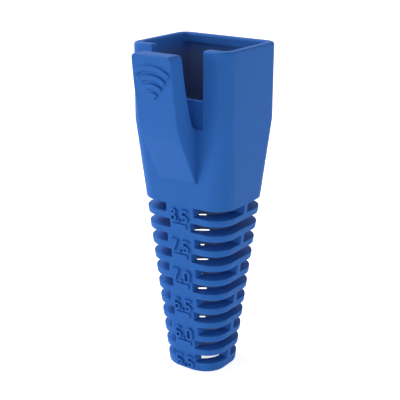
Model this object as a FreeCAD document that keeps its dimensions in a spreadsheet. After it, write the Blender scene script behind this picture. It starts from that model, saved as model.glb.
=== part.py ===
import FreeCAD, Part
import math
import os

import Sketcher
from FreeCAD import Placement, Rotation, Vector

# Strain relief boot for an RJ45 cable plug, moulded in one piece.
# Frame: millimetres, origin at the centre of the cable exit on the tail end
# face, +Z up towards the plug mouth, latch lever on the -Y side, +X its right.

doc = FreeCAD.newDocument("StrainReliefBoot")

SIZES = [
    ("total_height", 41.4, "tail end face to plug mouth"),
    ("shell_width", 14.0, "outside width of the plug shell"),
    ("shell_depth", 10.9, "outside depth of the plug shell"),
    ("shell_corner", 1.5, "upright corner radius of the plug shell"),
    ("taper_level", 32.2, "height where the shell starts to narrow"),
    ("neck_level", 22.35, "underside of the shell, above the first slot"),
    ("neck_width", 12.66, "outside width at the neck"),
    ("neck_depth", 10.22, "outside depth at the neck"),
    ("tail_width", 7.9, "outside width at the tail end"),
    ("tail_depth", 7.42, "outside depth at the tail end"),
    ("tail_corner", 2.8, "corner radius of the tail section"),
    ("ring_pitch", 2.0, "one ring and one slot"),
    ("slot_height", 1.15, "open height of a slot"),
    ("end_ring_height", 1.2, "height of the last ring"),
    ("odd_spine_width", 4.0, "spine between the slots beside a number"),
    ("even_spine_width", 2.94, "spine between the slots below a number"),
    ("side_post_width", 0.7, "post that splits a slot on each side"),
    ("bore_exit", 5.6, "cable bore through the last ring"),
    ("bore_mid", 7.5, "bore at the second index bar, as its number says"),
    ("bore_neck", 8.5, "bore at the first index bar and on up to the shoulder"),
    ("cavity_width", 12.0, "inside width of the plug cavity"),
    ("front_wall", 1.2, "wall on the lever side"),
    ("lip_wall", 1.0, "wall at the lip of the mouth, away from the lever"),
    ("thin_wall", 0.55, "wall behind the recess below the lip"),
    ("cavity_corner", 0.6, "upright corner radius of the plug cavity"),
    ("shoulder_level", 28.5, "shoulder that the plug body stops on"),
    ("lip_height", 1.1, "height of the lip inside the mouth"),
    ("lip_recess_level", 33.2, "lower end of the recess below the lip"),
    ("latch_slot_width", 7.2, "opening for the plug latch"),
    ("latch_sill", 35.4, "lower end of the latch opening"),
    ("clearance_level", 32.1, "lower end of the clearance under that opening"),
    ("clearance_wall", 0.6, "wall left behind the clearance"),
    ("rim_edge", 0.3, "rounding of the mouth rim"),
    ("lever_tip_width", 5.56, "lever width at its free end"),
    ("lever_foot_width", 5.36, "lever width at its foot"),
    ("lever_side_radius", 400.0, "bow of the lever sides"),
    ("lever_foot_level", 25.6, "height of the lever foot"),
    ("lever_foot_reach", 5.52, "mid plane to the lever foot, a step in front of the shell"),
    ("lever_root_reach", 4.9, "mid plane to the root of the lever, inside the wall"),
    ("lever_knee_level", 30.9, "height where the lever starts to bend upright"),
    ("lever_knee_reach", 8.34, "mid plane to that point"),
    ("lever_bend_level", 33.6, "height where the knee bend ends"),
    ("lever_bend_reach", 9.3, "mid plane to that point"),
    ("lever_tip_level", 41.2, "height of the lever tip"),
    ("lever_tip_reach", 10.43, "mid plane to the face of the lever at its tip"),
    ("lever_tip_back", 8.3, "mid plane to the back of the lever at its tip"),
    ("lever_back_radius", 40.6, "bow of the lever back"),
    ("lever_crotch_level", 33.2, "height where the back rounds into the shell"),
    ("lever_crotch_reach", 6.43, "mid plane to that point"),
    ("lever_corner", 0.5, "corner radius at the lever tip, seen from the front"),
    ("lever_edge", 0.14, "bevel on the lever edges"),
    ("grip_level", 35.95, "centre of the grip arcs"),
    ("grip_spread", 36.0, "half angle of the grip fan, degrees"),
    ("grip_centre", 1.0, "outer radius of the middle piece of the grip"),
    ("grip_core", 0.22, "inner radius of the middle piece of the grip"),
    ("grip_rib", 0.55, "width of a grip rib"),
    ("grip_end", 0.3, "radius of the rib ends"),
    ("grip_pitch", 1.03, "from one grip rib to the next"),
    ("grip_relief", 0.3, "height of the grip ribs"),
    ("mark_relief", 0.35, "height of the numbers"),
    ("bar_relief", 0.24, "height of the index bars"),
    ("digit_height", 1.65, "height of a digit"),
    ("digit_width", 0.96, "width of a digit"),
    ("digit_stroke", 0.25, "stroke width of a digit"),
    ("digit_offset", 0.82, "middle of a digit from the spine middle"),
    ("number_level", 21.15, "height of the first number"),
    ("number_pitch", 4.0, "from one number to the next"),
    ("bar_width", 2.0, "index bar length"),
    ("bar_height", 0.55, "index bar height"),
    ("bar_drop", 1.4, "index bar below its number"),
]

sheet = doc.addObject("Spreadsheet::Sheet", "Sizes")
for row, (alias, value, note) in enumerate(SIZES, start=1):
    sheet.set("A%d" % row, alias)
    sheet.set("B%d" % row, str(value))
    sheet.set("C%d" % row, note)
    sheet.setAlias("B%d" % row, alias)
doc.recompute()


def size(alias):
    return float(sheet.get(alias))


def solve(expression):
    """Number behind an expression over the sheet."""
    return float(sheet.evalExpression(expression))


# ---------------------------------------------------------------- sketches

def origin_feature(body, role):
    for feature in body.Origin.OriginFeatures:
        if feature.Role == role:
            return feature
    raise ValueError("no origin feature " + role)


def new_sketch(body, name, plane, level="0"):
    """Sketch on an origin plane, moved along its normal by an expression."""
    sketch = body.newObject("Sketcher::SketchObject", name)
    sketch.AttachmentSupport = [(origin_feature(body, plane), "")]
    sketch.MapMode = "FlatFace"
    sketch.setExpression("AttachmentOffset.Base.z", level)
    return sketch


def bind(sketch, constraint, expression):
    """Add a dimensional constraint and drive it from the sheet."""
    index = sketch.addConstraint(constraint)
    sketch.setExpression("Constraints[%d]" % index, expression)


def pin(sketch, geometry, point, x=None, y=None):
    """Hold a point at a distance from the sketch origin."""
    if x is not None:
        bind(sketch, Sketcher.Constraint("DistanceX", -1, 1, geometry, point, solve(x)), x)
    if y is not None:
        bind(sketch, Sketcher.Constraint("DistanceY", -1, 1, geometry, point, solve(y)), y)


def rounded_rectangle(sketch, width, front, back, corner):
    """Rectangle with round corners, centred on x = 0, from y = front to y = back."""
    half = solve(width) / 2
    low = solve(front)
    high = solve(back)
    rad = solve(corner)
    lines = [
        ((-half + rad, low), (half - rad, low)),
        ((half, low + rad), (half, high - rad)),
        ((half - rad, high), (-half + rad, high)),
        ((-half, high - rad), (-half, low + rad)),
    ]
    corners = [
        (half - rad, low + rad, -90),
        (half - rad, high - rad, 0),
        (-half + rad, high - rad, 90),
        (-half + rad, low + rad, 180),
    ]
    for (x0, y0), (x1, y1) in lines:
        sketch.addGeometry(Part.LineSegment(Vector(x0, y0, 0), Vector(x1, y1, 0)), False)
    for cx, cy, start in corners:
        circle = Part.Circle(Vector(cx, cy, 0), Vector(0, 0, 1), rad)
        first = math.radians(start)
        sketch.addGeometry(Part.ArcOfCircle(circle, first, first + math.pi / 2), False)
    for i in range(4):
        sketch.addConstraint(Sketcher.Constraint("Tangent", i, 2, 4 + i, 1))
        sketch.addConstraint(Sketcher.Constraint("Tangent", 4 + i, 2, (i + 1) % 4, 1))
    sketch.addConstraint(Sketcher.Constraint("Horizontal", 0))
    sketch.addConstraint(Sketcher.Constraint("Vertical", 1))
    for i in range(5, 8):
        sketch.addConstraint(Sketcher.Constraint("Equal", 4, i))
    pin(sketch, 1, 1, x="(%s) / 2" % width)
    pin(sketch, 3, 1, x="-(%s) / 2" % width)
    pin(sketch, 0, 1, y=front)
    pin(sketch, 2, 1, y=back)
    bind(sketch, Sketcher.Constraint("Radius", 4, rad), corner)


def turn(vector):
    """Quarter turn to the left in the sketch plane."""
    return Vector(-vector.y, vector.x, 0)


def tangent_arc(start, direction, stop):
    """Arc from start to stop that leaves start along a direction; also its centre."""
    chord = stop - start
    side = turn(direction).normalize()
    rad = chord.Length ** 2 / (2 * chord.dot(side))
    center = start + side * rad
    outward = ((start + stop) / 2 - center).normalize()
    return Part.Arc(start, center + outward * abs(rad), stop), center


def bowed_arc(start, stop, rad):
    """Arc of a given radius that bulges to the right of the way to stop; also its centre."""
    chord = stop - start
    side = turn(chord).normalize()
    center = (start + stop) / 2 + side * math.sqrt(rad ** 2 - chord.Length ** 2 / 4)
    return Part.Arc(start, center - side * rad, stop), center


def join(sketch, first, count, smooth=()):
    """Close a loop of pieces end to end, with tangent joints after the smooth ones."""
    for i in range(count):
        here = first + i
        there = first + (i + 1) % count
        ends = [(p, q) for p in (1, 2) for q in (1, 2)
                if sketch.getPoint(here, p).isEqual(sketch.getPoint(there, q), 1e-6)]
        kind = "Tangent" if i in smooth else "Coincident"
        sketch.addConstraint(Sketcher.Constraint(kind, here, ends[0][0], there, ends[0][1]))


def pin_corners(sketch, first, corners):
    """Hold the starting corner of each piece of a loop; each corner is two expressions."""
    for i, (x, y) in enumerate(corners, start=first):
        corner = Vector(solve(x), solve(y), 0)
        end = 1 if sketch.getPoint(i, 1).isEqual(corner, 1e-6) else 2
        pin(sketch, i, end, x=x, y=y)


def rectangle(sketch, left, right, low, high):
    """Plain rectangle; each side is an expression over the sheet."""
    x0, x1, y0, y1 = solve(left), solve(right), solve(low), solve(high)
    points = [(x0, y0), (x1, y0), (x1, y1), (x0, y1)]
    first = sketch.GeometryCount
    for i in range(4):
        ax, ay = points[i]
        bx, by = points[(i + 1) % 4]
        sketch.addGeometry(Part.LineSegment(Vector(ax, ay, 0), Vector(bx, by, 0)), False)
    for i in range(4):
        sketch.addConstraint(
            Sketcher.Constraint("Coincident", first + i, 2, first + (i + 1) % 4, 1))
        kind = "Horizontal" if i % 2 == 0 else "Vertical"
        sketch.addConstraint(Sketcher.Constraint(kind, first + i))
    pin(sketch, first, 1, x=left, y=low)
    pin(sketch, first + 2, 1, x=right, y=high)


# ---------------------------------------------------------------- the shell

body = doc.addObject("PartDesign::Body", "Shell")
body.Label = "Shell"


def pocket(name, sketch, length=None, reverse=False):
    """Cut against the sketch normal, or along it when reversed."""
    before = body.Shape.Volume
    feature = body.newObject("PartDesign::Pocket", name)
    feature.Profile = sketch
    feature.Reversed = reverse
    if length is None:
        feature.Type = "ThroughAll"
    else:
        feature.setExpression("Length", length)
    doc.recompute()
    if feature.Shape.Volume > before - 1e-3:
        raise ValueError(name + " cuts nothing")
    return feature


tail = body.newObject("PartDesign::AdditiveWedge", "Tail")
tail.Placement = Placement(Vector(0, 0, 0), Rotation(Vector(1, 0, 0), 90))
for side, sign in (("min", "-"), ("max", "")):
    tail.setExpression("X" + side, sign + "Sizes.tail_width / 2")
    tail.setExpression("Z" + side, sign + "Sizes.tail_depth / 2")
    tail.setExpression("X2" + side, sign + "Sizes.neck_width / 2")
    tail.setExpression("Z2" + side, sign + "Sizes.neck_depth / 2")
tail.Ymin = 0
tail.setExpression("Ymax", "Sizes.neck_level")
doc.recompute()

tail_corners = body.newObject("PartDesign::Fillet", "TailCorners")
tail_corners.Base = (tail, ["Edge%d" % i for i, edge in enumerate(tail.Shape.Edges, start=1)
                            if edge.BoundBox.ZLength > 1])
tail_corners.setExpression("Radius", "Sizes.tail_corner")
doc.recompute()

neck = new_sketch(body, "NeckSection", "XY_Plane", "Sizes.neck_level")
rounded_rectangle(neck, "Sizes.neck_width", "-Sizes.neck_depth / 2",
                  "Sizes.neck_depth / 2", "Sizes.tail_corner")
waist = new_sketch(body, "ShellSection", "XY_Plane", "Sizes.taper_level")
rounded_rectangle(waist, "Sizes.shell_width", "-Sizes.shell_depth / 2",
                  "Sizes.shell_depth / 2", "Sizes.shell_corner")
taper = body.newObject("PartDesign::AdditiveLoft", "TaperedShell")
taper.Profile = neck
taper.Sections = [waist]
taper.Ruled = True
doc.recompute()

shell_outline = new_sketch(body, "ShellOutline", "XY_Plane", "Sizes.taper_level")
rounded_rectangle(shell_outline, "Sizes.shell_width", "-Sizes.shell_depth / 2",
                  "Sizes.shell_depth / 2", "Sizes.shell_corner")
upper_shell = body.newObject("PartDesign::Pad", "UpperShell")
upper_shell.Profile = shell_outline
upper_shell.setExpression("Length", "Sizes.total_height - Sizes.taper_level")
doc.recompute()

# Plug cavity down to the shoulder, then the round cable bore.
FRONT_INSIDE = "-Sizes.shell_depth / 2 + Sizes.front_wall"
LIP_INSIDE = "Sizes.shell_depth / 2 - Sizes.lip_wall"
cavity = new_sketch(body, "CavityOutline", "XY_Plane", "Sizes.total_height")
rounded_rectangle(cavity, "Sizes.cavity_width", FRONT_INSIDE, LIP_INSIDE, "Sizes.cavity_corner")
pocket("PlugCavity", cavity, "Sizes.total_height - Sizes.shoulder_level")

bore_profile = new_sketch(body, "BoreProfile", "XZ_Plane")
BORE = [
    ("0", "-1"),
    ("Sizes.bore_exit / 2", "-1"),
    ("Sizes.bore_exit / 2", "Sizes.end_ring_height"),
    ("Sizes.bore_mid / 2", "Sizes.number_level - Sizes.number_pitch - Sizes.bar_drop"),
    ("Sizes.bore_neck / 2", "Sizes.number_level - Sizes.bar_drop"),
    ("Sizes.bore_neck / 2", "Sizes.shoulder_level + 0.5"),
    ("0", "Sizes.shoulder_level + 0.5"),
]
for i, (x, y) in enumerate(BORE):
    nx, ny = BORE[(i + 1) % len(BORE)]
    start = Vector(solve(x), solve(y), 0)
    stop = Vector(solve(nx), solve(ny), 0)
    bore_profile.addGeometry(Part.LineSegment(start, stop), False)
for i, (x, y) in enumerate(BORE):
    bore_profile.addConstraint(
        Sketcher.Constraint("Coincident", i, 2, (i + 1) % len(BORE), 1))
    pin(bore_profile, i, 1, x=x, y=y)
bore = body.newObject("PartDesign::Groove", "CableBore")
bore.Profile = bore_profile
bore.ReferenceAxis = (bore_profile, ["V_Axis"])
bore.Angle = 360
doc.recompute()

# Recess below the lip, on the wall away from the lever.
lip_recess = new_sketch(body, "LipRecessOutline", "XZ_Plane", "-Sizes.shell_depth / 2 + 1.5")
rectangle(lip_recess, "-Sizes.cavity_width / 2", "Sizes.cavity_width / 2",
          "Sizes.lip_recess_level", "Sizes.total_height - Sizes.lip_height")
pocket("LipRecess", lip_recess, "1.5 - Sizes.thin_wall")

# Latch opening through the front wall and the clearance below it.
latch = new_sketch(body, "LatchOpening", "XZ_Plane")
rectangle(latch, "-Sizes.latch_slot_width / 2", "Sizes.latch_slot_width / 2",
          "Sizes.latch_sill", "Sizes.total_height + 1")
pocket("LatchSlot", latch, "Sizes.shell_depth", reverse=True)

clearance = new_sketch(body, "ClearanceOutline", "XZ_Plane",
                       "Sizes.shell_depth / 2 - Sizes.front_wall + Sizes.clearance_wall")
rectangle(clearance, "-Sizes.latch_slot_width / 2", "Sizes.latch_slot_width / 2",
          "Sizes.clearance_level", "Sizes.latch_sill + 0.5")
clearance_cut = pocket("LatchClearance", clearance, "Sizes.front_wall", reverse=True)


rim_edges = [
    "Edge%d" % i for i, edge in enumerate(clearance_cut.Shape.Edges, start=1)
    if edge.BoundBox.ZMin > size("total_height") - 1e-3]
rim = body.newObject("PartDesign::Fillet", "RimEdge")
rim.Base = (clearance_cut, rim_edges)
rim.setExpression("Radius", "Sizes.rim_edge")
doc.recompute()


# ---------------------------------------------------------------- tail slots

def slot_rows(name, count, first_level, windows):
    """Slots cut down from a level and repeated at every second row below it."""
    outline = new_sketch(body, name + "Outline", "XY_Plane", first_level)
    for left, right, low, high in windows:
        rectangle(outline, left, right, low, high)
    first = pocket(name + "Top", outline, "Sizes.slot_height")
    if count == 1:
        return
    rows = body.newObject("PartDesign::LinearPattern", name)
    rows.Originals = [first]
    rows.Direction = (outline, ["N_Axis"])
    rows.Reversed = True
    rows.setExpression("Length", "%d * 2 * Sizes.ring_pitch" % (count - 1))
    rows.Occurrences = count
    body.Tip = rows
    doc.recompute()


def windows_beside(spine_width, spans):
    """Cut areas on both sides of the spine, one for each span from front to back."""
    sides = [("%s / 2" % spine_width, "Sizes.shell_width"),
             ("-Sizes.shell_width", "-%s / 2" % spine_width)]
    return [(left, right, low, high) for left, right in sides for low, high in spans]


HALVES = [("Sizes.side_post_width / 2", "Sizes.shell_depth"),
          ("-Sizes.shell_depth", "-Sizes.side_post_width / 2")]
WHOLE = [("-Sizes.shell_depth", "Sizes.shell_depth")]
slot_rows("PostedSlots", 5, "Sizes.neck_level",
          windows_beside("Sizes.odd_spine_width", HALVES))
slot_rows("OpenSlots", 5, "Sizes.neck_level - Sizes.ring_pitch",
          windows_beside("Sizes.even_spine_width", WHOLE))
slot_rows("LastSlots", 1, "Sizes.neck_level - 10 * Sizes.ring_pitch",
          windows_beside("Sizes.even_spine_width", HALVES))


# ---------------------------------------------------------------- latch lever

lever = doc.addObject("PartDesign::Body", "Lever")
lever.Label = "Lever"

LEVER_CORNERS = [
    ("-Sizes.lever_foot_reach", "Sizes.lever_foot_level"),
    ("-Sizes.lever_knee_reach", "Sizes.lever_knee_level"),
    ("-Sizes.lever_bend_reach", "Sizes.lever_bend_level"),
    ("-Sizes.lever_tip_reach", "Sizes.lever_tip_level"),
    ("-Sizes.lever_tip_back", "Sizes.lever_tip_level"),
    ("-Sizes.lever_crotch_reach", "Sizes.lever_crotch_level"),
    ("-Sizes.lever_root_reach", "Sizes.clearance_level"),
    ("-Sizes.lever_root_reach", "Sizes.lever_foot_level - 0.2"),
]
foot, knee, bend, tip, tip_back, crotch, root, heel = [
    Vector(solve(y), solve(z), 0) for y, z in LEVER_CORNERS]
knee_arc, knee_center = tangent_arc(knee, knee - foot, bend)
face_arc, face_center = tangent_arc(bend, turn(knee_center - bend), tip)
back_arc, back_center = bowed_arc(tip_back, crotch, size("lever_back_radius"))
crotch_arc, crotch_center = tangent_arc(crotch, turn(crotch - back_center), root)

profile = new_sketch(lever, "LeverProfile", "YZ_Plane")
PROFILE_PIECES = [
    Part.LineSegment(foot, knee), knee_arc, face_arc, Part.LineSegment(tip, tip_back),
    back_arc, crotch_arc, Part.LineSegment(root, heel), Part.LineSegment(heel, foot)]
profile.addGeometry(PROFILE_PIECES, False)
join(profile, 0, len(PROFILE_PIECES), smooth=(0, 1, 4))
pin_corners(profile, 0, LEVER_CORNERS)
bind(profile, Sketcher.Constraint("Radius", 4, size("lever_back_radius")),
     "Sizes.lever_back_radius")

FACE = 2
MEASURED = [
    ("face_radius", Sketcher.Constraint("Radius", FACE, (tip - face_center).Length)),
    ("face_center_y", Sketcher.Constraint("DistanceX", -1, 1, FACE, 3, face_center.x)),
    ("face_center_z", Sketcher.Constraint("DistanceY", -1, 1, FACE, 3, face_center.y)),
]
for name, constraint in MEASURED:
    index = profile.addConstraint(constraint)
    profile.setDriving(index, False)
    profile.renameConstraint(index, name)

lever_blank = lever.newObject("PartDesign::Pad", "LeverBlank")
lever_blank.Profile = profile
lever_blank.Midplane = True
lever_blank.setExpression("Length", "Sizes.shell_width")
doc.recompute()

sides = new_sketch(lever, "LeverSides", "XZ_Plane")
for sign in (1, -1):
    corners = [
        ("%d * Sizes.lever_foot_width / 2" % sign, "Sizes.lever_foot_level - 0.3"),
        ("%d * Sizes.lever_tip_width / 2" % sign, "Sizes.lever_tip_level"),
        ("%d * Sizes.lever_tip_width / 2" % sign, "Sizes.total_height + 1"),
        ("%d * Sizes.shell_width" % sign, "Sizes.total_height + 1"),
        ("%d * Sizes.shell_width" % sign, "Sizes.lever_foot_level - 1"),
        ("%d * Sizes.lever_foot_width / 2" % sign, "Sizes.lever_foot_level - 1"),
    ]
    spots = [Vector(solve(x), solve(z), 0) for x, z in corners]
    ends = spots[:2] if sign == 1 else spots[1::-1]
    side_arc, side_center = bowed_arc(ends[0], ends[1], size("lever_side_radius"))
    start = sides.GeometryCount
    sides.addGeometry(side_arc, False)
    for i in range(1, len(spots)):
        sides.addGeometry(Part.LineSegment(spots[i], spots[(i + 1) % len(spots)]), False)
    join(sides, start, len(spots))
    pin_corners(sides, start, corners)
    bind(sides, Sketcher.Constraint("Radius", start, size("lever_side_radius")),
         "Sizes.lever_side_radius")
lever_sides = lever.newObject("PartDesign::Pocket", "LeverSidesCut")
lever_sides.Profile = sides
lever_sides.Type = "ThroughAll"
lever_sides.Reversed = True
doc.recompute()

tip_corners = lever.newObject("PartDesign::Fillet", "TipCorners")
tip_corners.Base = (lever_sides, [
    "Edge%d" % i for i, edge in enumerate(lever_sides.Shape.Edges, start=1)
    if edge.BoundBox.ZMin > size("lever_tip_level") - 1e-3 and edge.BoundBox.XLength < 1e-3])
tip_corners.setExpression("Radius", "Sizes.lever_corner")
doc.recompute()


def exposed(edge):
    """True for an outer edge of the lever that stays outside the shell wall."""
    first, last = edge.ParameterRange
    middle = edge.valueAt((first + last) / 2)
    on_side = abs(middle.x) > size("lever_tip_width") / 4
    on_tip = edge.BoundBox.ZMin > size("lever_tip_level") - size("lever_corner") - 1e-3
    return on_tip or (on_side and edge.BoundBox.YMin < -size("lever_foot_reach") - 1e-3)


lever_edges = lever.newObject("PartDesign::Chamfer", "LeverEdges")
lever_edges.Base = (tip_corners, [
    "Edge%d" % i for i, edge in enumerate(tip_corners.Shape.Edges, start=1) if exposed(edge)])
lever_edges.setExpression("Size", "Sizes.lever_edge")
doc.recompute()

# Finger grip: a small middle piece with ribs around it, bowed like the lever face.
grip = doc.addObject("PartDesign::Body", "Grip")
grip.Label = "Grip"
ribs = new_sketch(grip, "GripRibs", "XZ_Plane", "Sizes.lever_bend_reach")
SPREAD = math.radians(size("grip_spread"))


def fan_arc(radius):
    """Arc of the fan, centred on the grip and open by the spread on both sides."""
    center = Vector(0, size("grip_level"), 0)
    rad = solve(radius)
    circle = Part.Circle(center, Vector(0, 0, 1), rad)
    index = ribs.addGeometry(Part.ArcOfCircle(circle, math.pi / 2 - SPREAD, math.pi / 2 + SPREAD), False)
    pin(ribs, index, 3, x="0", y="Sizes.grip_level")
    bind(ribs, Sketcher.Constraint("Radius", index, rad), radius)
    pin(ribs, index, 1, x="(%s) * sin(Sizes.grip_spread)" % radius)
    pin(ribs, index, 2, x="-(%s) * sin(Sizes.grip_spread)" % radius)
    return index


def spoke(inner, outer, end):
    """Straight end of a piece of the fan."""
    line = Part.LineSegment(ribs.getPoint(inner, end), ribs.getPoint(outer, end))
    index = ribs.addGeometry(line, False)
    ribs.addConstraint(Sketcher.Constraint("Coincident", index, 1, inner, end))
    ribs.addConstraint(Sketcher.Constraint("Coincident", index, 2, outer, end))


def round_end(inner, outer, end):
    """Rounded end of a rib; end 1 is on the right and end 2 on the left."""
    low = ribs.getPoint(inner, end)
    high = ribs.getPoint(outer, end)
    ends = (low, high) if end == 1 else (high, low)
    cap, center = bowed_arc(ends[0], ends[1], size("grip_end"))
    index = ribs.addGeometry(cap, False)
    start = 1 if ribs.getPoint(index, 1).isEqual(low, 1e-6) else 2
    ribs.addConstraint(Sketcher.Constraint("Coincident", index, start, inner, end))
    ribs.addConstraint(Sketcher.Constraint("Coincident", index, 3 - start, outer, end))
    bind(ribs, Sketcher.Constraint("Radius", index, size("grip_end")), "Sizes.grip_end")


core_arc = fan_arc("Sizes.grip_core")
middle_arc = fan_arc("Sizes.grip_centre")
spoke(core_arc, middle_arc, 1)
spoke(core_arc, middle_arc, 2)
for rib in range(1, 4):
    inside = "Sizes.grip_centre + %d * Sizes.grip_pitch - Sizes.grip_rib" % rib
    inner_arc = fan_arc(inside)
    outer_arc = fan_arc("Sizes.grip_centre + %d * Sizes.grip_pitch" % rib)
    round_end(inner_arc, outer_arc, 1)
    round_end(inner_arc, outer_arc, 2)
rib_pad = grip.newObject("PartDesign::Pad", "RibBlanks")
rib_pad.Profile = ribs
rib_pad.setExpression("Length", "Sizes.lever_tip_reach - Sizes.lever_bend_reach + 1")
doc.recompute()

grip_face = doc.addObject("Part::Cylinder", "GripFace")
grip_face.setExpression("Radius", "LeverProfile.Constraints.face_radius + Sizes.grip_relief * 1 mm")
grip_face.setExpression("Height", "Sizes.shell_width")
grip_face.Placement = Placement(Vector(0, 0, 0), Rotation(Vector(0, 1, 0), 90))
grip_face.setExpression("Placement.Base.x", "-Sizes.shell_width / 2")
grip_face.setExpression("Placement.Base.y", "LeverProfile.Constraints.face_center_y")
grip_face.setExpression("Placement.Base.z", "LeverProfile.Constraints.face_center_z")
bowed_ribs = doc.addObject("Part::MultiCommon", "BowedRibs")
bowed_ribs.Shapes = [grip, grip_face]
doc.recompute()


# ---------------------------------------------------------------- cable numbers

NUMBERS = ["8.5", "7.5", "7.0", "6.5", "6.0", "5.5"]
FACE_RISE = (size("neck_depth") - size("tail_depth")) / 2 / size("neck_level")
FACE_LEAN = math.degrees(math.atan(FACE_RISE))
RELIEF = size("mark_relief")
DEPTH = 2 * RELIEF
HALF_HIGH = size("digit_height") / 2
HALF_WIDE = size("digit_width") / 2
STROKE = size("digit_stroke")


def on_front(level):
    """Placement on the leaning front face: local Y up the face, local Z out of it."""
    reach = size("tail_depth") / 2 + FACE_RISE * level
    return Placement(Vector(0, -reach, level), Rotation(Vector(1, 0, 0), 90 + FACE_LEAN))


def ring(v, outer, first=0, last=360):
    """Ring, or the part of one from first to last degrees, on the middle line of a digit."""
    base = Vector(0, v, -RELIEF)
    up = Vector(0, 0, 1)
    solid = Part.makeCylinder(outer, DEPTH, base, up, last - first)
    solid = solid.cut(Part.makeCylinder(outer - STROKE, DEPTH, base, up))
    solid.rotate(base, up, first)
    return solid


def bar(u0, v0, u1, v1):
    """Straight stroke along a middle line."""
    along = Vector(u1 - u0, v1 - v0, 0)
    solid = Part.makeBox(along.Length, STROKE, DEPTH, Vector(0, -STROKE / 2, -RELIEF))
    turned = Rotation(Vector(1, 0, 0), along)
    solid.Placement = Placement(Vector(u0, v0, 0), turned)
    return solid


def strokes(digit):
    """Strokes of one character, centred on its own middle."""
    edge = HALF_WIDE - STROKE / 2
    top = HALF_HIGH - STROKE / 2
    round_level = HALF_HIGH - HALF_WIDE
    if digit == "0":
        return [ring(round_level, HALF_WIDE, 0, 180), ring(-round_level, HALF_WIDE, 180, 360),
                bar(-edge, -round_level, -edge, round_level),
                bar(edge, -round_level, edge, round_level)]
    if digit == "5":
        return [bar(-HALF_WIDE, top, HALF_WIDE - 0.05, top), bar(-edge, top, -edge, 0.0),
                ring(-round_level, HALF_WIDE, -150, 140)]
    if digit == "6":
        return [ring(-round_level, HALF_WIDE), ring(round_level, HALF_WIDE, 30, 180),
                bar(-edge, -round_level, -edge, round_level)]
    if digit == "7":
        return [bar(-HALF_WIDE, top, HALF_WIDE, top), bar(edge, top, -edge / 2, -HALF_HIGH + 0.05)]
    if digit == "8":
        small = 0.87 * HALF_WIDE
        return [ring(HALF_HIGH - small, small), ring(-round_level, HALF_WIDE)]
    return [bar(-STROKE / 2, -top, STROKE / 2, -top)]


marks = []
for place, text in enumerate(NUMBERS):
    level = size("number_level") - place * size("number_pitch")
    pieces = []
    for column, character in enumerate(text, start=-1):
        for solid in strokes(character):
            solid.translate(Vector(column * size("digit_offset"), 0, 0))
            pieces.append(solid)
    number = doc.addObject("Part::Feature", "Number" + text.replace(".", "_"))
    number.Label = "Number " + text
    number.Shape = pieces[0].fuse(pieces[1:])
    number.Placement = on_front(level)
    marks.append(number)
    if place < len(NUMBERS) - 1:
        index_bar = doc.addObject("Part::Box", "IndexBar%d" % (place + 1))
        index_bar.setExpression("Length", "Sizes.bar_width")
        index_bar.setExpression("Width", "Sizes.bar_height")
        index_bar.setExpression("Height", "2 * Sizes.bar_relief")
        corner = Vector(-size("bar_width") / 2, -size("bar_height") / 2, -size("bar_relief"))
        index_bar.Placement = on_front(level - size("bar_drop")) * Placement(corner, Rotation())
        marks.append(index_bar)

boot = doc.addObject("Part::MultiFuse", "Boot")
boot.Shapes = [body, lever, bowed_ribs] + marks
boot.Refine = True
doc.recompute()

for feature in doc.Objects:
    if "Invalid" in feature.State or "Error" in feature.State:
        raise ValueError(feature.Name + " did not build")
if boot.Shape.isNull() or not boot.Shape.isValid() or len(boot.Shape.Solids) != 1:
    raise ValueError("the boot is not one valid solid")

os.makedirs("parts", exist_ok=True)
boot.Shape.Solids[0].exportStep("parts/boot.step")
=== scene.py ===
import math

import bmesh
import bpy
from bpy.props import FloatProperty, FloatVectorProperty, PointerProperty
from bpy.types import Operator, Panel, PropertyGroup
from mathutils import Matrix, Vector


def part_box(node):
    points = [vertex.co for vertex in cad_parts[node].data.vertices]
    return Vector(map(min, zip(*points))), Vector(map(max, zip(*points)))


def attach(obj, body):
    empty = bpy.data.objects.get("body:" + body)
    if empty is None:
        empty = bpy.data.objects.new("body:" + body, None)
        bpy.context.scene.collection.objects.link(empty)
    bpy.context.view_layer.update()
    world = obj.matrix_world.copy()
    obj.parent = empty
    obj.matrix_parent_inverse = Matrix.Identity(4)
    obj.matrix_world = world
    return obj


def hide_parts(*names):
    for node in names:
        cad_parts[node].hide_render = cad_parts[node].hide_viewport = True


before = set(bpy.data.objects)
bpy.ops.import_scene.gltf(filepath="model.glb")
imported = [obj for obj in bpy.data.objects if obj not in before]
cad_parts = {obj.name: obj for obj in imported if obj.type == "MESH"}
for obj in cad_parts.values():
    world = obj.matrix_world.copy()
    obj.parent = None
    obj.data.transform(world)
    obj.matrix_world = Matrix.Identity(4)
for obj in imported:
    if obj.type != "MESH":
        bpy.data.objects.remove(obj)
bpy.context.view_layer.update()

bl_info = {
    "name": "Strain relief boot",
    "version": (1, 0, 0),
    "blender": (4, 5, 0),
    "location": "View3D > Sidebar > Boot",
    "description": "Finishes a moulded cable boot and sets up a studio for it",
    "category": "Object",
}

BOOT_LOW, BOOT_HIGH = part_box("boot")
MM = 0.001

# Hollow inside of the moulding, with a little play around each surface.
SHOULDER = 28.4 * MM
LIP_LEVEL = 40.35 * MM
CAVITY_HALF = 6.05 * MM
CAVITY_FRONT = -4.3 * MM
CAVITY_BACK = 4.95 * MM
BORE_EXIT = 2.9 * MM
BORE_SLOPE = 0.0725
BORE_TOP = 20 * MM

# Heights between which the inner skin turns from the outer colour to the painted shade colour, darker
# deeper down.
SHADE_FADE_HIGH = 40.5 * MM
SHADE_FADE_LOW = 38.5 * MM

# Field of the raised numbers on the front of the tail.
FIELD_HALF = 1.55 * MM
FIELD_TOP = 22.3 * MM

# An edge is rounded above the first angle and shaded as part of a curve below the second.
ROUND_ABOVE = math.radians(32)
SMOOTH_BELOW = math.radians(30)

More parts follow.
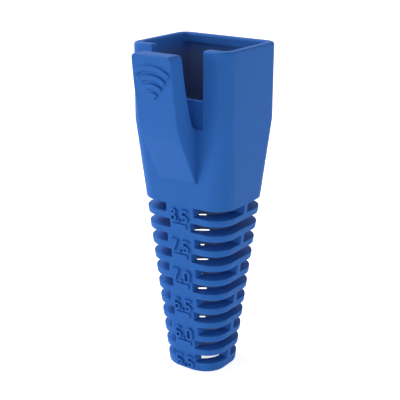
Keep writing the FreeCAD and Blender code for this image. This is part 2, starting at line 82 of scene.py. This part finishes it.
# Colour sockets of a Mix node, which share their names with the sockets for numbers.
MIX_FACTOR, MIX_FIRST, MIX_SECOND, MIX_RESULT = 0, 6, 7, 2

# Soft lights: name, direction from the boot, width, height and the setting for the power.
LIGHT_DISTANCE = 0.35
SOFTBOXES = [
    ("front_light", (-0.7, -1.0, 0.12), 0.16, 0.1, "key"),
    ("side_light", (1.0, 0.35, 0.15), 0.2, 0.12, "side"),
    ("left_light", (-0.9, 0.05, 0.75), 0.15, 0.15, "left"),
]


# ---------------------------------------------------------------- settings

class MouldedFinish(PropertyGroup):
    color: FloatVectorProperty(
        name="Colour", description="Colour of the dyed plastic", subtype="COLOR",
        size=3, min=0, max=1, default=(0.028, 0.141, 0.485))
    # Painted shade: a darker colour for the skin inside the boot, standing in for the shade deep in
    # the cavity and the bore.
    painted_shade_color: FloatVectorProperty(
        name="Inner colour", description="Duller colour of the skin inside the boot", subtype="COLOR",
        size=3, min=0, max=1, default=(0.12, 0.18, 0.36))
    roughness: FloatProperty(
        name="Roughness", description="Satin sheen of the moulded skin",
        subtype="FACTOR", min=0, max=1, default=0.52)
    edge_round: FloatProperty(
        name="Edge rounding", description="Rounding of the edges in the mesh",
        subtype="DISTANCE", unit="LENGTH", min=0, default=0.08 * MM)
    grain: FloatProperty(
        name="Grain", description="Height of the fine texture of the mould",
        subtype="DISTANCE", unit="LENGTH", min=0, default=0.01 * MM)


class StudioLight(PropertyGroup):
    azimuth: FloatProperty(
        name="Camera azimuth", description="Camera direction from the lever side towards +X",
        subtype="ANGLE", unit="ROTATION", default=math.radians(34.836))
    elevation: FloatProperty(
        name="Camera elevation", description="Camera direction above the floor",
        subtype="ANGLE", unit="ROTATION", default=math.radians(18.514))
    roll: FloatProperty(
        name="Camera roll", description="Turn of the camera about its own axis",
        subtype="ANGLE", unit="ROTATION", default=math.radians(0.216))
    distance: FloatProperty(
        name="Camera distance", description="From the camera to the point it looks at",
        subtype="DISTANCE", unit="LENGTH", min=0, default=118.47 * MM)
    aim_height: FloatProperty(
        name="Aim height", description="Height of the point the camera looks at",
        subtype="DISTANCE", unit="LENGTH", default=21.66 * MM)
    aim_right: FloatProperty(
        name="Aim right", description="Sideways shift of that point, seen from the camera",
        subtype="DISTANCE", unit="LENGTH", default=-0.43 * MM)
    lens: FloatProperty(
        name="Lens", description="Focal length in millimetres on a 36 mm sensor",
        min=1, default=85.72)
    sky: FloatProperty(
        name="Room light", description="Brightness of the room near the horizon",
        min=0, default=1.15)
    ceiling: FloatProperty(
        name="Ceiling", description="Brightness of the ceiling against the room",
        min=0, default=0.38)
    rear: FloatProperty(
        name="Rear", description="Brightness of the room behind against the room in front",
        min=0, default=0.6)
    right: FloatProperty(
        name="Right", description="Brightness of the right of the room against the left",
        min=0, default=0.7)
    bounce: FloatProperty(
        name="Floor bounce", description="Light that the lit floor gives back",
        min=0, default=0.2)
    key: FloatProperty(
        name="Front light", description="Power of the large light in front",
        subtype="POWER", unit="POWER", min=0, default=0.27)
    side: FloatProperty(
        name="Side light", description="Power of the light on the +X side",
        subtype="POWER", unit="POWER", min=0, default=0.2)
    left: FloatProperty(
        name="Left light", description="Power of the raised light on the -X side",
        subtype="POWER", unit="POWER", min=0, default=0.9)


# ---------------------------------------------------------------- finish

def link(tree, source, output, target, socket):
    tree.links.new(source.outputs[output], target.inputs[socket])


def moulded_plastic(name, finish, color):
    """Satin dyed plastic with a fine mould grain and a faint mottle."""
    material = bpy.data.materials.new(name)
    material.use_nodes = True
    tree = material.node_tree
    shader = tree.nodes["Principled BSDF"]
    shader.inputs["IOR"].default_value = 1.5
    shader.inputs["Specular IOR Level"].default_value = 0.08

    place = tree.nodes.new("ShaderNodeTexCoord")

    mottle = tree.nodes.new("ShaderNodeTexNoise")
    mottle.inputs["Scale"].default_value = 180
    mottle.inputs["Detail"].default_value = 4
    link(tree, place, "Object", mottle, "Vector")
    shade = tree.nodes.new("ShaderNodeMix")
    shade.data_type = "RGBA"
    shade.inputs[MIX_FIRST].default_value = (*[c * 0.95 for c in color], 1)
    shade.inputs[MIX_SECOND].default_value = (*[min(1, c * 1.05) for c in color], 1)
    link(tree, mottle, "Fac", shade, MIX_FACTOR)
    link(tree, shade, MIX_RESULT, shader, "Base Color")

    gloss = tree.nodes.new("ShaderNodeMapRange")
    gloss.inputs["To Min"].default_value = finish.roughness - 0.05
    gloss.inputs["To Max"].default_value = finish.roughness + 0.05
    link(tree, mottle, "Fac", gloss, "Value")
    link(tree, gloss, "Result", shader, "Roughness")

    grain = tree.nodes.new("ShaderNodeTexNoise")
    grain.inputs["Scale"].default_value = 4000
    grain.inputs["Detail"].default_value = 3
    link(tree, place, "Object", grain, "Vector")
    bump = tree.nodes.new("ShaderNodeBump")
    bump.inputs["Distance"].default_value = finish.grain
    bump.inputs["Strength"].default_value = 0.4
    link(tree, grain, "Fac", bump, "Height")
    link(tree, bump, "Normal", shader, "Normal")
    return material


def inner_skin(finish):
    """The same plastic inside the boot, with painted shade: its colour turns to the darker shade
    colour from a little below the mouth downwards.
    """
    material = moulded_plastic("inner_skin", finish, finish.color)
    tree = material.node_tree
    shader = tree.nodes["Principled BSDF"]
    outer = shader.inputs["Base Color"].links[0].from_socket
    place = tree.nodes["Texture Coordinate"]
    axes = tree.nodes.new("ShaderNodeSeparateXYZ")
    link(tree, place, "Object", axes, "Vector")
    depth = tree.nodes.new("ShaderNodeMapRange")
    depth.inputs["From Min"].default_value = SHADE_FADE_HIGH
    depth.inputs["From Max"].default_value = SHADE_FADE_LOW
    link(tree, axes, "Z", depth, "Value")
    # Painted shade: mix towards the shade colour, fully so below the lower fade height and in the
    # bore.
    shade = tree.nodes.new("ShaderNodeMix")
    shade.data_type = "RGBA"
    shade.inputs[MIX_SECOND].default_value = (*finish.painted_shade_color, 1)
    link(tree, depth, "Result", shade, MIX_FACTOR)
    tree.links.new(outer, shade.inputs[MIX_FIRST])
    link(tree, shade, MIX_RESULT, shader, "Base Color")
    return material


def in_cavity(point):
    """True for a point of the plug cavity, from its shoulder up to the lip of the mouth."""
    return (abs(point.x) < CAVITY_HALF and CAVITY_FRONT < point.y < CAVITY_BACK
            and SHOULDER < point.z < LIP_LEVEL)


def gets_painted_shade(face):
    """True for a face of the plug cavity or of the cable bore, which gets the painted shade."""
    point = face.calc_center_median()
    if point.z > SHOULDER:
        return in_cavity(point)
    bore = BORE_EXIT + BORE_SLOPE * min(point.z, BORE_TOP)
    return abs(face.normal.z) < 0.5 and math.hypot(point.x, point.y) < bore


def in_number_field(point):
    """True for a point on the raised numbers, which are too fine to round."""
    return abs(point.x) < FIELD_HALF and point.y < 0 and point.z < FIELD_TOP


def edge_middle(edge):
    return (edge.verts[0].co + edge.verts[1].co) / 2


def needs_rounding(edge):
    """True for a sharp edge of the moulding that is neither in the cavity nor in a number."""
    if not edge.is_manifold or edge.calc_face_angle() < ROUND_ABOVE:
        return False
    middle = edge_middle(edge)
    return not in_number_field(middle) and not in_cavity(middle)


def shades_smoothly(edge):
    """True for an edge inside a curved face, away from the crisp numbers."""
    return (edge.is_manifold and edge.calc_face_angle() < SMOOTH_BELOW
            and not in_number_field(edge_middle(edge)))


def soft_moulding(node, radius):
    """Copy of the moulding with its sharp edges rounded off."""
    mesh = bmesh.new()
    mesh.from_mesh(node.data)
    mesh.transform(node.matrix_world)
    bmesh.ops.remove_doubles(mesh, verts=mesh.verts, dist=0.001 * MM)
    bmesh.ops.dissolve_limit(
        mesh, angle_limit=math.radians(0.5), verts=mesh.verts, edges=mesh.edges)
    bmesh.ops.bevel(
        mesh, geom=[edge for edge in mesh.edges if needs_rounding(edge)], offset=radius,
        offset_type="OFFSET", segments=2, profile=0.5, affect="EDGES", clamp_overlap=False)
    bmesh.ops.triangulate(mesh, faces=[face for face in mesh.faces if len(face.verts) > 4])
    for edge in mesh.edges:
        edge.smooth = shades_smoothly(edge)
    for face in mesh.faces:
        face.smooth = True
        # Faces of the cavity and the bore take the second material, with painted shade.
        face.material_index = int(gets_painted_shade(face))
    data = bpy.data.meshes.new("boot_moulding")
    mesh.to_mesh(data)
    mesh.free()
    piece = bpy.data.objects.new("boot_moulding", data)
    piece.modifiers.new("flat_faces", "WEIGHTED_NORMAL").keep_sharp = True
    bpy.context.scene.collection.objects.link(piece)
    return piece


class OBJECT_OT_boot_moulding(Operator):
    """Round the edges of the moulding and give it its satin plastic finish, with painted shade inside
    """
    bl_idname = "object.boot_moulding"
    bl_label = "Moulding"

    def execute(self, context):
        finish = context.scene.boot_finish
        piece = soft_moulding(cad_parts["boot"], finish.edge_round)
        piece.data.materials.append(moulded_plastic("outer_skin", finish, finish.color))
        # Second material: the inside skin with painted shade.
        piece.data.materials.append(inner_skin(finish))
        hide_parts("boot")
        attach(piece, "root")
        return {"FINISHED"}


# ---------------------------------------------------------------- stage

def combine(tree, operation, first, second):
    """Math node over the outputs of two nodes, each given with the name of its output."""
    node = tree.nodes.new("ShaderNodeMath")
    node.operation = operation
    link(tree, first[0], first[1], node, 0)
    link(tree, second[0], second[1], node, 1)
    return node


def background_rays(tree):
    """1 for the camera, glossy and transmission rays, which all see the white background."""
    path = tree.nodes.new("ShaderNodeLightPath")
    direct = combine(tree, "MAXIMUM", (path, "Is Camera Ray"), (path, "Is Glossy Ray"))
    return combine(tree, "MAXIMUM", (direct, "Value"), (path, "Is Transmission Ray"))


def white_floor(studio):
    """Pale floor that keeps a faint shadow."""
    material = bpy.data.materials.new("floor")
    material.use_nodes = True
    tree = material.node_tree
    shader = tree.nodes["Principled BSDF"]
    shader.inputs["Base Color"].default_value = (0.8, 0.8, 0.8, 1)
    shader.inputs["Roughness"].default_value = 0.9
    shader.inputs["Specular IOR Level"].default_value = 0.0
    shader.inputs["Emission Color"].default_value = (1, 1, 1, 1)
    glow = tree.nodes.new("ShaderNodeMapRange")
    glow.inputs["To Min"].default_value = studio.bounce
    glow.inputs["To Max"].default_value = 0.75
    link(tree, background_rays(tree), "Value", glow, "Value")
    link(tree, glow, "Result", shader, "Emission Strength")
    return material


def add_floor(studio):
    mesh = bpy.data.meshes.new("floor")
    half = 0.6
    low = BOOT_LOW.z
    corners = [(-half, -half, low), (half, -half, low), (half, half, low), (-half, half, low)]
    mesh.from_pydata(corners, [], [(0, 1, 2, 3)])
    mesh.materials.append(white_floor(studio))
    floor = bpy.data.objects.new("floor", mesh)
    bpy.context.scene.collection.objects.link(floor)


def fade(tree, axis, start, stop, first, last):
    """Brightness that goes from first to last along one axis of the room."""
    ramp = tree.nodes.new("ShaderNodeMapRange")
    ramp.interpolation_type = "SMOOTHSTEP"
    ramp.inputs["From Min"].default_value = start
    ramp.inputs["From Max"].default_value = stop
    ramp.inputs["To Min"].default_value = first
    ramp.inputs["To Max"].default_value = last
    link(tree, axis[0], axis[1], ramp, "Value")
    return ramp


def add_sky(studio):
    """White to the camera; to everything else a room with dimmer ceiling, rear and right."""
    world = bpy.data.worlds.new("studio")
    bpy.context.scene.world = world
    world.use_nodes = True
    tree = world.node_tree
    background = tree.nodes["Background"]
    background.inputs["Color"].default_value = (1, 1, 1, 1)
    place = tree.nodes.new("ShaderNodeTexCoord")
    axes = tree.nodes.new("ShaderNodeSeparateXYZ")
    link(tree, place, "Generated", axes, "Vector")
    height = fade(tree, (axes, "Z"), 0.1, 0.5, studio.sky, studio.sky * studio.ceiling)
    depth = fade(tree, (axes, "Y"), -0.3, 0.7, 1.0, studio.rear)
    side = fade(tree, (axes, "X"), -0.2, 0.7, 1.0, studio.right)
    front = combine(tree, "MULTIPLY", (height, "Result"), (depth, "Result"))
    room = combine(tree, "MULTIPLY", (front, "Value"), (side, "Result"))
    level = tree.nodes.new("ShaderNodeMix")
    level.inputs["B"].default_value = 1.0
    link(tree, room, "Value", level, "A")
    link(tree, background_rays(tree), "Value", level, "Factor")
    link(tree, level, "Result", background, "Strength")


def add_softbox(name, direction, width, height, power):
    """Flat area light that points at the middle of the boot."""
    lamp = bpy.data.lights.new(name, "AREA")
    lamp.shape = "RECTANGLE"
    lamp.size = width
    lamp.size_y = height
    lamp.energy = power
    holder = bpy.data.objects.new(name, lamp)
    middle = (BOOT_LOW + BOOT_HIGH) / 2
    toward = Vector(direction).normalized()
    holder.location = middle + toward * LIGHT_DISTANCE
    holder.rotation_euler = toward.to_track_quat("Z", "Y").to_euler()
    bpy.context.scene.collection.objects.link(holder)


def add_camera(studio):
    azimuth, elevation = studio.azimuth, studio.elevation
    right = Vector((math.cos(azimuth), math.sin(azimuth), 0))
    back = Vector((math.sin(azimuth) * math.cos(elevation),
                   -math.cos(azimuth) * math.cos(elevation), math.sin(elevation)))
    up = back.cross(right)
    level = Matrix((right, up, back)).transposed().to_4x4()
    aim = right * studio.aim_right + Vector((0, 0, studio.aim_height))
    data = bpy.data.cameras.new("camera")
    data.sensor_width = 36
    data.lens = studio.lens
    data.clip_start = 0.005
    camera = bpy.data.objects.new("camera", data)
    camera.matrix_world = (Matrix.Translation(aim + back * studio.distance)
                           @ level @ Matrix.Rotation(studio.roll, 4, "Z"))
    bpy.context.scene.collection.objects.link(camera)
    bpy.context.scene.camera = camera


class SCENE_OT_boot_stage(Operator):
    """Set up the white floor, the soft lights and the camera"""
    bl_idname = "scene.boot_stage"
    bl_label = "Stage"

    def execute(self, context):
        studio = context.scene.boot_studio
        add_floor(studio)
        add_sky(studio)
        for name, direction, width, height, power in SOFTBOXES:
            add_softbox(name, direction, width, height, getattr(studio, power))
        add_camera(studio)
        context.scene.view_settings.view_transform = "Standard"
        return {"FINISHED"}


# ---------------------------------------------------------------- add-on

class VIEW3D_PT_boot(Panel):
    bl_label = "Strain relief boot"
    bl_space_type = "VIEW_3D"
    bl_region_type = "UI"
    bl_category = "Boot"

    def draw(self, context):
        for settings in (context.scene.boot_finish, context.scene.boot_studio):
            for name in settings.__annotations__:
                self.layout.prop(settings, name)
        self.layout.operator(OBJECT_OT_boot_moulding.bl_idname)
        self.layout.operator(SCENE_OT_boot_stage.bl_idname)


CLASSES = (MouldedFinish, StudioLight, OBJECT_OT_boot_moulding, SCENE_OT_boot_stage, VIEW3D_PT_boot)


def register():
    for cls in CLASSES:
        bpy.utils.register_class(cls)
    bpy.types.Scene.boot_finish = PointerProperty(type=MouldedFinish)
    bpy.types.Scene.boot_studio = PointerProperty(type=StudioLight)


def unregister():
    del bpy.types.Scene.boot_studio
    del bpy.types.Scene.boot_finish
    for cls in reversed(CLASSES):
        bpy.utils.unregister_class(cls)


def main():
    register()
    bpy.ops.object.boot_moulding()
    bpy.ops.scene.boot_stage()


if __name__ == "__main__":
    main()
